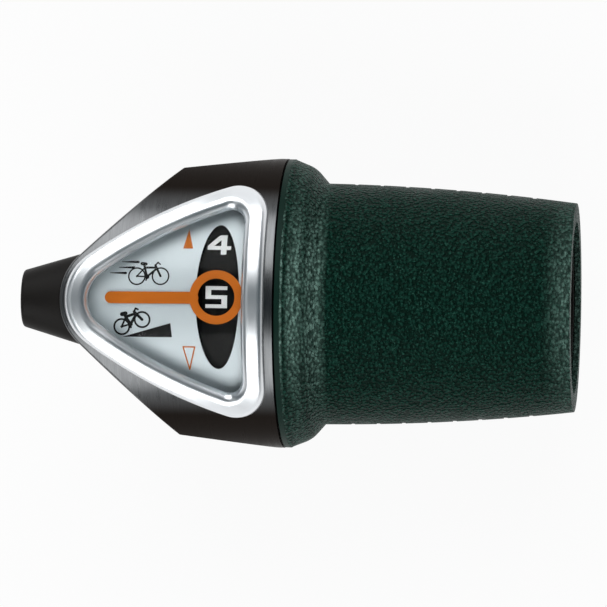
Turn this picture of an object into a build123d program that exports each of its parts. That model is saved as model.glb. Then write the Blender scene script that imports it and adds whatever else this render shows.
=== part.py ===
"""Twist grip shifter for a round handlebar, modelled in its highest gear.

Millimetres. +X runs along the handlebar to its outboard end and +Z out of the gear display.
The origin lies on the bar axis, where the grip collar meets the housing.
"""
import os
from math import cos, hypot, radians, sin, sqrt

from build123d import *

# Handlebar, bearing tube and turning fit
BAR_DIAMETER = 22.2
BAR_CLEARANCE = 0.05
TUBE_WALL = 1.2
RUN_CLEARANCE = 0.07
END_PLAY = 0.05
HUB_WALL = 0.9
SLEEVE_WALL = 1.3
KEY_HEIGHT = 0.5
KEY_WIDTH = 2.4
KEY_CLEARANCE = 0.03
GRIP_KEY_HEIGHT = 0.8
GRIP_KEY_WIDTH = 3.0
WASHER_THICKNESS = 0.35
RING_THICKNESS = 0.8
RING_GROOVE = 0.6
RING_SETBACK = 0.5

# Rubber grip, with depths measured outwards from the bore
GRIP_LENGTH = 43.0
COLLAR_DEPTH = 10.55
GRIP_ROOT_DEPTH = 6.85
GRIP_MID_DEPTH = 6.15
GRIP_END_DEPTH = 4.4
COLLAR_RISE = 2.3
COLLAR_LENGTH = 3.0
ROOT_LENGTH = 2.0
COLLAR_EDGE_ROUND = 0.7
COLLAR_ROUND = 4.4
ROOT_ROUND = 3.6
END_ROUND = 1.0
FLANGE_THICKNESS = 0.75
FLANGE_INSET = 0.15
SHOULDER_LENGTH = 1.5
LIP_OVERLAP = 0.45
LIP_THICKNESS = 0.8
LIP_GAP = 0.15
RIB_PITCH = 3.8
RIB_COUNT = 8
RIB_ARC = 212.0
RIB_START = 4.2
RIB_DEPTH = 0.45
RIB_HALF_WIDTH = 0.3
RIB_FLARE = 0.5

# Housing
SEAM_GAP = 0.3
HEAD_LENGTH = 15.0
HEAD_TAPER = 1.9
WALL = 1.4
FRONT_WALL = 0.8
FIT_GAP = 0.2
BAR_RELIEF = 0.95
CLAMP_WALL = 2.25
CLAMP_CHAMFER = 1.4
CLAMP_LENGTH = 7.5
CLAMP_RECESS = 2.35
CLAMP_SLIT = 1.6
LUG_LENGTH = 7.0
LUG_HALF_WIDTH = 7.4
LUG_DROP = 4.2
LUG_TOP = 8.2

# Fasteners
SCREW_RADIUS = 2.0
SCREW_CLEARANCE = 0.15
SCREW_HEAD_EDGE = 1.2
SCREW_HEAD_HEIGHT = 3.2
HEAD_RECESS = 3.5
NUT_RECESS = 3.8
NUT_EDGE = 1.46
NUT_HEIGHT = 3.0
CLAMP_WASHER_THICKNESS = 0.5
COVER_SCREW_RADIUS = 0.75
COVER_SCREW_LENGTH = 10.4
COVER_SCREW_HOLE = 1.05
COVER_HEAD_RADIUS = 1.55
COVER_HEAD_HEIGHT = 1.5
COVER_HEAD_DEPTH = 4.4
COVER_SCREW_SETBACK = 1.25
COVER_BOSS = 0.9

# Display, measured down from the crown of the cover
CROWN_STEP = 0.1
BEZEL_RISE = 1.3
LENS_DEPTH = 0.7
LENS_THICKNESS = 1.2
LENS_RIM = 0.3
PLATE_THICKNESS = 0.5
NUMBER_GAP = 0.6
SKIRT_INSET = 1.3
LENS_LEDGE = 1.0
LENS_EDGE = 0.8
SEAT_GAP = 0.05
BEZEL_NOSE = -34.9
BEZEL_RIGHT = -1.3
BEZEL_HALF_WIDTH = 18.5
BEZEL_WIDTH = 3.35
BEZEL_BOW = 2.7
BEZEL_NOSE_ROUND = 8.0
BEZEL_CORNER_ROUND = 4.6
BEZEL_EDGE_ROUND = 1.2
WINDOW_CORNER_ROUND = 2.1
COVER_NOSE = -35.35
COVER_NOSE_ROUND = 8.9
COVER_EDGE_ROUND = 0.5
NOSE_WALL = 2.4
NOSE_ROUND = 7.4
SLOT_CENTRE = -8.4
SLOT_SHIFT = 0.6
SLOT_HALF_LENGTH = 10.5
SLOT_HALF_WIDTH = 3.2

# Gears
GEARS = 5
GEAR_STEP = 25.0
NOTCH_RADIUS = 0.85
NOSE_RADIUS = 0.75
NOTCH_DROP = 0.55
NOTCH_RELIEF = 0.25
NOTCH_LENGTH = 2.2
SPRING_RISE = 0.95
SPRING_THICKNESS = 0.35
SPRING_ARC = 58.0
STOP_ARC = 16.0
STOP_CLEARANCE = 0.7
DRUM_INSET = 2.6
DRUM_MARGIN = 0.4
DRUM_SKIN = 0.9
DRUM_WEB = 1.0
SPOOL_WALL = 0.7
SPOOL_FLANGE = 2.0
SPOOL_LIP = 0.88
SPIN_GAP = 0.4

# Cable outlet
OUTLET_TIP = -37.4
OUTLET_FLARE = 0.3
OUTLET_SINK = 7.0
OUTLET_ROUND = 0.5
CASING_RADIUS = 2.6
CASING_DEPTH = 6.6
NECK_WALL = 0.3
NECK_SPREAD = 1.0
NECK_SETBACK = 1.2
CABLE_RADIUS = 0.8
CABLE_CLEARANCE = 0.15
GUIDE_GAP = 0.5
GUIDE_BEND = 7.0

# Radii from the bar axis outwards
bore_r = BAR_DIAMETER / 2 + BAR_CLEARANCE
collar_r = bore_r + COLLAR_DEPTH
grip_root_r = bore_r + GRIP_ROOT_DEPTH
grip_mid_r = bore_r + GRIP_MID_DEPTH
grip_end_r = bore_r + GRIP_END_DEPTH
head_front_r = collar_r - HEAD_TAPER
tube_r = bore_r + TUBE_WALL
bearing_r = tube_r + RUN_CLEARANCE
hub_r = bearing_r + HUB_WALL
sleeve_r = bearing_r + SLEEVE_WALL
key_r = hub_r + KEY_HEIGHT
keyway_r = key_r + KEY_CLEARANCE
keyway_width = KEY_WIDTH + 2 * KEY_CLEARANCE
clamp_r = bore_r + CLAMP_WALL
saddle_r = clamp_r + FIT_GAP
nose_low_r = bore_r + BAR_RELIEF
crown_r = collar_r - CROWN_STEP
crest_r = crown_r + BEZEL_RISE
lens_top_r = crown_r - LENS_DEPTH
lens_low_r = lens_top_r - LENS_THICKNESS
plate_top_r = lens_low_r - LENS_RIM
plate_low_r = plate_top_r - PLATE_THICKNESS
number_r = plate_low_r - NUMBER_GAP
groove_r = key_r + SPOOL_WALL
spool_r = groove_r + 2 * CABLE_RADIUS + SPOOL_LIP
notch_r = number_r - NOTCH_DROP
crest_ring_r = notch_r - NOTCH_RELIEF
spring_r = notch_r + SPRING_RISE
guide_r = (plate_low_r - saddle_r) / 2 - GUIDE_GAP

# Stations along the bar
seam = SEAM_GAP / 2
head_x = -HEAD_LENGTH
clamp_face_x = head_x - CLAMP_RECESS
clamp_end_x = clamp_face_x - CLAMP_LENGTH
spool_x = clamp_face_x + WASHER_THICKNESS + END_PLAY
drum_x = head_x + DRUM_INSET
detent_x = SLOT_CENTRE + SLOT_HALF_WIDTH + DRUM_MARGIN
rim_x = detent_x + NOTCH_LENGTH
shoulder_x = -SHOULDER_LENGTH
flange_x = seam + FLANGE_THICKNESS
collar_x = flange_x + COLLAR_LENGTH
root_x = collar_x + ROOT_LENGTH
lip_x = GRIP_LENGTH - LIP_THICKNESS
tube_end_x = lip_x - LIP_GAP
ring_x = tube_end_x - RING_SETBACK - RING_THICKNESS
sleeve_end_x = ring_x - WASHER_THICKNESS - END_PLAY
cable_z = (saddle_r + plate_low_r) / 2
outlet_tip_r = cable_z - nose_low_r
screw_x = clamp_end_x + LUG_LENGTH / 2
screw_z = -(bore_r + 2 * SCREW_RADIUS + SCREW_CLEARANCE)
recess_y = LUG_HALF_WIDTH - HEAD_RECESS
head_y = recess_y + CLAMP_WASHER_THICKNESS
nut_y = LUG_HALF_WIDTH - NUT_RECESS
outlet_root_x = COVER_NOSE + OUTLET_SINK
neck_end_x = outlet_root_x - NECK_SETBACK
cover_screw_x = clamp_face_x - COVER_SCREW_SETBACK
cover_screw_y = saddle_r + COVER_BOSS
cover_hole_depth = COVER_SCREW_LENGTH - COVER_HEAD_DEPTH + 1
pocket_x = cover_screw_x - COVER_SCREW_RADIUS + 0.6
pocket_half_width = cover_screw_y - COVER_SCREW_RADIUS + 0.25
cover_head_z = -COVER_HEAD_DEPTH
cross_z = cover_head_z - COVER_HEAD_HEIGHT
cover_head_places = [(cover_screw_x, side * cover_screw_y, cover_head_z) for side in (1, -1)]
spring_angle = 270.0
stop_angle = 320.0
travel = GEAR_STEP * (GEARS - 1)
top_aligned = (Align.CENTER, Align.CENTER, Align.MAX)
base_aligned = (Align.CENTER, Align.CENTER, Align.MIN)
REACH = 300.0


def radial_plane(angle):
    """Plane through the bar axis whose second direction points outwards at this angle from +Y."""
    turn = radians(angle)
    return Plane(origin=(0, 0, 0), x_dir=(1, 0, 0), z_dir=(0, -sin(turn), cos(turn)))


def ring(x0, x1, r0, r1, mode=Mode.ADD):
    """Plain ring turned about the bar axis."""
    with BuildSketch(Plane.XZ) as section:
        with Locations(((x0 + x1) / 2, (r0 + r1) / 2)):
            Rectangle(x1 - x0, r1 - r0)
    revolve(section.sketch, axis=Axis.X, mode=mode)


def sector(x0, x1, r0, r1, middle, spread, mode=Mode.ADD):
    """Part of a ring, spread degrees wide about its middle angle."""
    with BuildSketch(radial_plane(middle - spread / 2)) as section:
        with Locations(((x0 + x1) / 2, (r0 + r1) / 2)):
            Rectangle(x1 - x0, r1 - r0)
    revolve(section.sketch, axis=Axis.X, revolution_arc=spread, mode=mode)


def keys(x0, x1, r0, r1, width, count, mode=Mode.ADD):
    """Straight keys along the bar, evenly spaced round the axis."""
    for number in range(count):
        with BuildSketch(radial_plane(90 + number * 360 / count)) as section:
            with Locations(((x0 + x1) / 2, (r0 + r1) / 2)):
                Rectangle(x1 - x0, r1 - r0)
        extrude(section.sketch, amount=width / 2, both=True, mode=mode)


def curved_slab(outline, r_low, r_top):
    """Slab of a plan outline between two radii from the bar axis, above the axis."""
    with BuildPart(mode=Mode.PRIVATE) as slab:
        extrude(outline, amount=2 * r_top)
        Cylinder(r_top, REACH, rotation=(0, 90, 0), mode=Mode.INTERSECT)
        Cylinder(r_low, REACH, rotation=(0, 90, 0), mode=Mode.SUBTRACT)
    return slab.part


def edges_at_radius(edges, radius):
    """Edges that lie wholly at one radius from the bar axis."""
    found = ShapeList()
    for edge in edges:
        points = [edge @ place for place in (0.02, 0.35, 0.5, 0.65, 0.98)]
        if all(abs(hypot(point.Y, point.Z) - radius) < 1e-3 for point in points):
            found.append(edge)
    return found


# Circle that the bowed flank of the bezel lies on
flank_x = (BEZEL_NOSE + BEZEL_RIGHT) / 2
flank_y = BEZEL_HALF_WIDTH / 2
flank_chord = hypot(BEZEL_RIGHT - BEZEL_NOSE, BEZEL_HALF_WIDTH)
flank_r = (flank_chord**2 / 4 + BEZEL_BOW**2) / (2 * BEZEL_BOW)
flank_x += (flank_r - BEZEL_BOW) * BEZEL_HALF_WIDTH / flank_chord
flank_y -= (flank_r - BEZEL_BOW) * (BEZEL_RIGHT - BEZEL_NOSE) / flank_chord


def display_outline(inset, corner_round):
    """Rounded three-cornered outline of the bezel, moved inwards by the inset."""
    radius = flank_r - inset
    right = BEZEL_RIGHT - inset
    nose = flank_x - sqrt(radius**2 - flank_y**2)
    half_width = flank_y + sqrt(radius**2 - (right - flank_x) ** 2)
    with BuildSketch(Plane.XY) as outline:
        with BuildLine():
            RadiusArc((nose, 0), (right, half_width), radius)
            Line((right, half_width), (right, -half_width))
            RadiusArc((right, -half_width), (nose, 0), radius)
        make_face()
        fillet(outline.vertices().sort_by(Axis.X)[:1], radius=BEZEL_NOSE_ROUND - inset)
        fillet(outline.vertices().sort_by(Axis.X)[-2:], radius=corner_round)
    return outline.sketch


pocket_inset = BEZEL_WIDTH - LENS_LEDGE
rim_inset = pocket_inset + LENS_EDGE
bezel_outline = display_outline(0, BEZEL_CORNER_ROUND)
skirt_outline = display_outline(SKIRT_INSET, BEZEL_CORNER_ROUND - SKIRT_INSET)
pocket_outline = display_outline(pocket_inset, BEZEL_CORNER_ROUND - pocket_inset)
rim_outline = display_outline(rim_inset, BEZEL_CORNER_ROUND - rim_inset)
window_outline = display_outline(BEZEL_WIDTH, WINDOW_CORNER_ROUND)

# Plan outline of the cover and of the hollow in its nose
with BuildSketch(Plane.XY) as cover_outline:
    with BuildLine():
        Polyline(
            (COVER_NOSE, 0),
            (head_x, head_front_r),
            (-seam, collar_r),
            (-seam, -collar_r),
            (head_x, -head_front_r),
            (COVER_NOSE, 0),
        )
    make_face()
    fillet(cover_outline.vertices().sort_by(Axis.X)[:1], radius=COVER_NOSE_ROUND)

with BuildSketch(Plane.XY) as nose_outline:
    with BuildLine():
        Polyline(
            (COVER_NOSE + NOSE_WALL, 0),
            (pocket_x, pocket_half_width),
            (pocket_x, -pocket_half_width),
            (COVER_NOSE + NOSE_WALL, 0),
        )
    make_face()
    fillet(nose_outline.vertices().sort_by(Axis.X)[:1], radius=NOSE_ROUND)

# Space inside the head for the turning parts
with BuildSketch(Plane.XZ) as cavity_section:
    with BuildLine():
        Polyline(
            (clamp_face_x, 0),
            (clamp_face_x, spool_r + SPIN_GAP),
            (head_x + WALL / 2, spool_r + SPIN_GAP),
            (head_x + WALL / 2, head_front_r - WALL),
            (flange_x, collar_r - WALL),
            (flange_x, 0),
            (clamp_face_x, 0),
        )
    make_face()

# Way of the cable from the outlet towards the spool
with BuildLine(Plane.XY.offset(cable_z)) as guide_path:
    lead = Line((neck_end_x, 0), (clamp_end_x + 0.4, 0))
    JernArc(lead @ 1, lead % 1, GUIDE_BEND, 45)

with BuildPart() as guide_bed:
    with BuildSketch(Plane.YZ.offset(neck_end_x)) as bed_section:
        with Locations((0, cable_z)):
            Circle(guide_r)
    sweep(bed_section.sketch, path=guide_path.line)
guide_run = guide_bed.part

crown_slab = curved_slab(cover_outline.sketch, 0.5, crown_r)
nose_pocket = curved_slab(nose_outline.sketch, cable_z - guide_r + GUIDE_GAP, lens_top_r)
opening = curved_slab(skirt_outline, plate_low_r - SEAT_GAP, crest_r)
bezel_top = curved_slab(bezel_outline, crown_r, crest_r)
bezel_skirt = curved_slab(skirt_outline, plate_low_r, crown_r)
lens_seat = curved_slab(pocket_outline, plate_low_r - 1.0, lens_top_r)
window_cut = curved_slab(window_outline, plate_low_r - 1.0, crest_r + 1.0)
lens_body = curved_slab(pocket_outline, plate_top_r, lens_top_r)
lens_hollow = curved_slab(rim_outline, plate_top_r - 1.0, lens_low_r)
plate_body = curved_slab(pocket_outline, plate_low_r, plate_top_r)

# Black base: bearing tube, split clamp ring and the lower half of the head
with BuildPart() as housing:
    with BuildSketch(Plane.XZ) as lower_section:
        with BuildLine():
            Polyline(
                (clamp_end_x, 0),
                (clamp_end_x, clamp_r - CLAMP_CHAMFER),
                (clamp_face_x, spool_r + SPIN_GAP + FRONT_WALL),
                (head_x, head_front_r - SEAT_GAP),
                (-seam, crown_r),
                (-seam, 0),
                (clamp_end_x, 0),
            )
        make_face()
    revolve(lower_section.sketch, axis=Axis.X)
    split(bisect_by=Plane.XY, keep=Keep.BOTTOM)
    with Locations((screw_x, 0, screw_z - LUG_DROP)):
        Box(LUG_LENGTH, 2 * LUG_HALF_WIDTH, LUG_DROP + LUG_TOP, align=base_aligned)
    revolve(cavity_section.sketch, axis=Axis.X, mode=Mode.SUBTRACT)
    with BuildSketch(Plane.XZ) as clamp_section:
        with BuildLine():
            Polyline(
                (clamp_end_x, bore_r),
                (clamp_end_x, clamp_r - CLAMP_CHAMFER),
                (clamp_end_x + CLAMP_CHAMFER, clamp_r),
                (clamp_face_x, clamp_r),
                (clamp_face_x, tube_r),
                (tube_end_x, tube_r),
                (tube_end_x, bore_r),
                (clamp_end_x, bore_r),
            )
        make_face()
    revolve(clamp_section.sketch, axis=Axis.X)
    for side in (-1, 1):
        sector(
            detent_x - 0.3, rim_x + 0.1, spring_r + SPRING_THICKNESS, collar_r - WALL,
            spring_angle + (SPRING_ARC / 2 - 4) * side, 8,
        )
    sector(rim_x + 0.15, shoulder_x - 0.1, number_r - 0.4, collar_r - WALL, stop_angle, STOP_ARC)
    Cylinder(bore_r, REACH, rotation=(0, 90, 0), mode=Mode.SUBTRACT)
    ring(ring_x, ring_x + RING_THICKNESS + END_PLAY, tube_r - RING_GROOVE, tube_r + 1, mode=Mode.SUBTRACT)
    with Locations((clamp_face_x + FIT_GAP, 0, 0)):
        Box(
            REACH, CLAMP_SLIT, REACH,
            align=(Align.MAX, Align.CENTER, Align.MAX), mode=Mode.SUBTRACT,
        )
    with BuildSketch(Plane.XZ.offset(-LUG_HALF_WIDTH)) as screw_hole:
        with Locations((screw_x, screw_z)):
            Circle(SCREW_RADIUS + SCREW_CLEARANCE)
    extrude(screw_hole.sketch, amount=2 * LUG_HALF_WIDTH, mode=Mode.SUBTRACT)
    with BuildSketch(Plane.XZ.offset(-recess_y)) as head_recess:
        with Locations((screw_x, screw_z)):
            Circle(SCREW_RADIUS + SCREW_HEAD_EDGE + FIT_GAP)
    extrude(head_recess.sketch, amount=-REACH, mode=Mode.SUBTRACT)
    with BuildSketch(Plane.XZ.offset(nut_y)) as nut_recess:
        with Locations((screw_x, screw_z)):
            RegularPolygon(SCREW_RADIUS + NUT_EDGE + 0.04, 6, major_radius=False)
    extrude(nut_recess.sketch, amount=REACH, mode=Mode.SUBTRACT)
    with Locations((cover_screw_x, cover_screw_y, 0), (cover_screw_x, -cover_screw_y, 0)):
        Cylinder(COVER_SCREW_HOLE, REACH, align=top_aligned, mode=Mode.SUBTRACT)
    with Locations(*cover_head_places):
        Cylinder(COVER_HEAD_RADIUS + FIT_GAP, REACH, align=top_aligned, mode=Mode.SUBTRACT)
    fillet(housing.edges().filter_by(Axis.Y).group_by(Axis.Z)[0], radius=1.0)
housing.part.label = "housing"

# Grey cover with the nose that carries the display
with BuildPart() as top_cover:
    add(crown_slab)
    nose_edges = edges_at_radius(top_cover.edges(), crown_r).filter_by(lambda edge: (edge @ 0.5).X < head_x)
    fillet(nose_edges, radius=COVER_EDGE_ROUND)
    revolve(cavity_section.sketch, axis=Axis.X, mode=Mode.SUBTRACT)
    ring(clamp_end_x - FIT_GAP, clamp_face_x + FIT_GAP, 0, saddle_r, mode=Mode.SUBTRACT)
    ring(COVER_NOSE - WALL, clamp_end_x, 0, nose_low_r, mode=Mode.SUBTRACT)
    add(opening, mode=Mode.SUBTRACT)
    add(nose_pocket, mode=Mode.SUBTRACT)
    add(guide_run, mode=Mode.SUBTRACT)
    with BuildSketch(Plane.YZ.offset(COVER_NOSE)) as outlet_hole:
        with Locations((0, cable_z)):
            Ellipse(CASING_RADIUS + NECK_SPREAD, CASING_RADIUS + NECK_WALL)
    extrude(outlet_hole.sketch, amount=OUTLET_SINK, mode=Mode.SUBTRACT)
    with Locations((clamp_face_x + FIT_GAP, GUIDE_BEND / 2, cable_z)):
        Box(
            COVER_SCREW_SETBACK + 1.0, 9.0, 2 * guide_r,
            align=(Align.MAX, Align.CENTER, Align.CENTER), mode=Mode.SUBTRACT,
        )
    with Locations((cover_screw_x, cover_screw_y), (cover_screw_x, -cover_screw_y)):
        Cylinder(COVER_SCREW_RADIUS, cover_hole_depth, align=base_aligned, mode=Mode.SUBTRACT)
top_cover.part.label = "top_cover"

# Bright frame round the display, rounded over its full width
with BuildPart() as bezel:
    add(bezel_top)
    add(bezel_skirt)
    add(lens_seat, mode=Mode.SUBTRACT)
    add(window_cut, mode=Mode.SUBTRACT)
    fillet(edges_at_radius(bezel.edges(), crest_r), radius=BEZEL_EDGE_ROUND)
bezel.part.label = "bezel"

# Clear window with a shallow rim that the plate is bonded to
with BuildPart() as window_lens:
    add(lens_body)
    add(lens_hollow, mode=Mode.SUBTRACT)
window_lens.part.label = "window_lens"

# Printed plate with the oval slot for the gear numbers
with BuildPart() as dial_plate:
    add(plate_body)
    with BuildSketch(Plane.XY) as slot:
        with Locations((SLOT_CENTRE, SLOT_SHIFT)):
            Ellipse(SLOT_HALF_WIDTH, SLOT_HALF_LENGTH)
    extrude(slot.sketch, amount=REACH, mode=Mode.SUBTRACT)
dial_plate.part.label = "dial_plate"

# Tapered stub for the cable casing, shaped to the front of the nose
with BuildPart() as cable_outlet:
    with BuildSketch(Plane.YZ.offset(OUTLET_TIP)):
        with Locations((0, cable_z)):
            Circle(outlet_tip_r)
    with BuildSketch(Plane.YZ.offset(outlet_root_x)):
        with Locations((0, cable_z)):
            Ellipse(
                outlet_tip_r + OUTLET_FLARE * (outlet_root_x - OUTLET_TIP),
                outlet_tip_r + FIT_GAP,
            )
    loft()
    fillet(cable_outlet.edges().group_by(Axis.X)[0], radius=OUTLET_ROUND)
    add(crown_slab, mode=Mode.SUBTRACT)
    with BuildSketch(Plane.YZ.offset(COVER_NOSE + OUTLET_ROUND)) as neck:
        with Locations((0, cable_z)):
            Ellipse(CASING_RADIUS + NECK_SPREAD, CASING_RADIUS + NECK_WALL)
    extrude(neck.sketch, amount=neck_end_x - COVER_NOSE - OUTLET_ROUND)
    with BuildSketch(Plane.YZ.offset(OUTLET_TIP)) as casing:
        with Locations((0, cable_z)):
            Circle(CASING_RADIUS)
    extrude(casing.sketch, amount=CASING_DEPTH, mode=Mode.SUBTRACT)
    with BuildSketch(Plane.YZ.offset(OUTLET_TIP)) as inner:
        with Locations((0, cable_z)):
            Circle(CABLE_RADIUS + 2 * CABLE_CLEARANCE)
    extrude(inner.sketch, amount=REACH / 10, mode=Mode.SUBTRACT)
cable_outlet.part.label = "cable_outlet"

# Low-friction liner that turns the cable towards the spool
with BuildPart() as cable_guide:
    with BuildSketch(Plane.YZ.offset(neck_end_x)) as liner:
        with Locations((0, cable_z)):
            Circle(guide_r)
            Circle(CABLE_RADIUS + CABLE_CLEARANCE, mode=Mode.SUBTRACT)
    sweep(liner.sketch, path=guide_path.line)
cable_guide.part.label = "cable_guide"

# Clamp fasteners, across the slit below the bar
with BuildPart() as clamp_screw:
    with BuildSketch(Plane.XZ.offset(-head_y - SCREW_HEAD_HEIGHT)) as head:
        with Locations((screw_x, screw_z)):
            Circle(SCREW_RADIUS + SCREW_HEAD_EDGE)
    extrude(head.sketch, amount=SCREW_HEAD_HEIGHT)
    fillet(clamp_screw.edges().group_by(Axis.Y)[-1], radius=0.4)
    with BuildSketch(Plane.XZ.offset(-head_y)) as shank:
        with Locations((screw_x, screw_z)):
            Circle(SCREW_RADIUS)
    extrude(shank.sketch, amount=head_y + LUG_HALF_WIDTH - 0.4)
    with BuildSketch(Plane.XZ.offset(-head_y - SCREW_HEAD_HEIGHT)) as socket:
        with Locations((screw_x, screw_z)):
            RegularPolygon(0.75 * SCREW_RADIUS, 6, major_radius=False)
    extrude(socket.sketch, amount=0.9 * SCREW_RADIUS, mode=Mode.SUBTRACT)
clamp_screw.part.label = "clamp_screw"

with BuildPart() as clamp_washer:
    with BuildSketch(Plane.XZ.offset(-head_y)) as washer:
        with Locations((screw_x, screw_z)):
            Circle(SCREW_RADIUS + SCREW_HEAD_EDGE + FIT_GAP / 2)
            Circle(SCREW_RADIUS + SCREW_CLEARANCE, mode=Mode.SUBTRACT)
    extrude(washer.sketch, amount=CLAMP_WASHER_THICKNESS)
clamp_washer.part.label = "clamp_washer"

with BuildPart() as clamp_nut:
    with BuildSketch(Plane.XZ.offset(nut_y)) as nut:
        with Locations((screw_x, screw_z)):
            RegularPolygon(SCREW_RADIUS + NUT_EDGE, 6, major_radius=False)
            Circle(SCREW_RADIUS, mode=Mode.SUBTRACT)
    extrude(nut.sketch, amount=NUT_HEIGHT)
clamp_nut.part.label = "clamp_nut"

with BuildPart() as cover_screws:
    with Locations(*cover_head_places):
        Cylinder(COVER_SCREW_RADIUS, COVER_SCREW_LENGTH, align=base_aligned)
        Cylinder(COVER_HEAD_RADIUS, COVER_HEAD_HEIGHT, align=top_aligned)
    with Locations((cover_screw_x, cover_screw_y, cross_z), (cover_screw_x, -cover_screw_y, cross_z)):
        Box(1.2 * COVER_HEAD_RADIUS, 0.6, COVER_HEAD_HEIGHT, mode=Mode.SUBTRACT)
        Box(0.6, 1.2 * COVER_HEAD_RADIUS, COVER_HEAD_HEIGHT, mode=Mode.SUBTRACT)
cover_screws.part.label = "cover_screws"

# Leaf spring whose nose rests in the notch of the gear in use
with BuildPart() as detent_spring:
    sector(detent_x + 0.3, rim_x - 0.3, spring_r, spring_r + SPRING_THICKNESS, spring_angle, SPRING_ARC)
    with BuildSketch(Plane.YZ.offset(detent_x + 0.3)) as nose:
        with Locations((0, -notch_r)):
            Circle(NOSE_RADIUS)
        with Locations((0, -(notch_r + spring_r + 0.1) / 2)):
            Rectangle(0.9, spring_r + 0.1 - notch_r)
    extrude(nose.sketch, amount=rim_x - detent_x - 0.6)
detent_spring.part.label = "detent_spring"

# Thrust washers and the snap ring that keep the sleeve on the tube
with BuildPart() as inboard_washer:
    ring(clamp_face_x, clamp_face_x + WASHER_THICKNESS, bearing_r, hub_r)
inboard_washer.part.label = "inboard_washer"

with BuildPart() as outboard_washer:
    ring(ring_x - WASHER_THICKNESS, ring_x, bearing_r, sleeve_r)
outboard_washer.part.label = "outboard_washer"

with BuildPart() as retaining_ring:
    sector(ring_x, ring_x + RING_THICKNESS, tube_r - RING_GROOVE, sleeve_r - FIT_GAP / 2, 90, 310)
retaining_ring.part.label = "retaining_ring"

# Turning sleeve with its collar flange, a keyed hub inboard and a keyed tube outboard
with BuildPart() as twist_sleeve:
    with BuildSketch(Plane.XZ) as sleeve_section:
        with BuildLine():
            Polyline(
                (spool_x, bearing_r),
                (spool_x, hub_r),
                (shoulder_x, hub_r),
                (shoulder_x, hub_r + 2.0),
                (seam, hub_r + 2.0),
                (seam, collar_r - FLANGE_INSET),
                (flange_x, collar_r - FLANGE_INSET),
                (flange_x, grip_root_r + 0.3),
                (collar_x + 1.0, sleeve_r + 1.2),
                (root_x + 1.0, sleeve_r),
                (sleeve_end_x, sleeve_r),
                (sleeve_end_x, bearing_r),
                (spool_x, bearing_r),
            )
        make_face()
    revolve(sleeve_section.sketch, axis=Axis.X)
    keys(spool_x, shoulder_x + 0.5, hub_r - 0.3, key_r, KEY_WIDTH, 3)
    grip_key_end_x = sleeve_end_x - GRIP_KEY_WIDTH
    keys(collar_x, grip_key_end_x, sleeve_r - 0.3, sleeve_r + GRIP_KEY_HEIGHT, GRIP_KEY_WIDTH, 6)
twist_sleeve.part.label = "twist_sleeve"

# Rubber moulded over the sleeve, with ribs that are deepest underneath and run out at the sides
middle_x = (root_x + GRIP_LENGTH) / 2
rib_shift = RIB_DEPTH / (1 - cos(radians(RIB_ARC / 2)))


def grip_radius(x):
    """Outer radius of the grip between its root and its end."""
    place = (x - root_x) / (GRIP_LENGTH - root_x)
    straight = grip_root_r + (grip_end_r - grip_root_r) * place
    bulge = grip_mid_r - (grip_root_r + grip_end_r) / 2
    return straight + 4 * bulge * place * (1 - place)


with BuildPart() as rubber_grip:
    with BuildSketch(Plane.XZ) as grip_section:
        with BuildLine():
            Polyline(
                (flange_x, sleeve_r),
                (flange_x, collar_r - FIT_GAP),
                (collar_x, grip_root_r + COLLAR_RISE),
                (root_x, grip_root_r),
            )
            ThreePointArc(
                (root_x, grip_root_r),
                (middle_x, grip_mid_r),
                (GRIP_LENGTH, grip_end_r),
            )
            Polyline(
                (GRIP_LENGTH, grip_end_r),
                (GRIP_LENGTH, tube_r + LIP_OVERLAP),
                (lip_x, tube_r + LIP_OVERLAP),
                (lip_x, sleeve_r + FIT_GAP),
                (sleeve_end_x, sleeve_r + FIT_GAP),
                (sleeve_end_x, sleeve_r),
                (flange_x, sleeve_r),
            )
        make_face()
        corners = grip_section.vertices()
        fillet(corners.sort_by_distance((collar_x, grip_root_r + COLLAR_RISE, 0))[:1], radius=COLLAR_ROUND)
        fillet(corners.sort_by_distance((root_x, grip_root_r, 0))[:1], radius=ROOT_ROUND)
        fillet(corners.sort_by_distance((GRIP_LENGTH, grip_end_r, 0))[:1], radius=END_ROUND)
        fillet(corners.sort_by_distance((flange_x, collar_r - FIT_GAP, 0))[:1], radius=COLLAR_EDGE_ROUND)
    revolve(grip_section.sketch, axis=Axis.X)
    add(twist_sleeve.part, mode=Mode.SUBTRACT)
    for rib in range(RIB_COUNT):
        x = root_x + RIB_START + rib * RIB_PITCH
        floor_r = grip_radius(x) - RIB_DEPTH + rib_shift
        with BuildSketch(Plane.XZ) as rib_section:
            with BuildLine():
                Polyline(
                    (x - RIB_HALF_WIDTH - RIB_FLARE, rib_shift + floor_r + 2 * RIB_DEPTH),
                    (x - RIB_HALF_WIDTH, rib_shift + floor_r),
                    (x + RIB_HALF_WIDTH, rib_shift + floor_r),
                    (x + RIB_HALF_WIDTH + RIB_FLARE, rib_shift + floor_r + 2 * RIB_DEPTH),
                    (x - RIB_HALF_WIDTH - RIB_FLARE, rib_shift + floor_r + 2 * RIB_DEPTH),
                )
            make_face()
        revolve(rib_section.sketch, axis=Axis((0, 0, rib_shift), (1, 0, 0)), mode=Mode.SUBTRACT)
rubber_grip.part.label = "rubber_grip"

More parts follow.
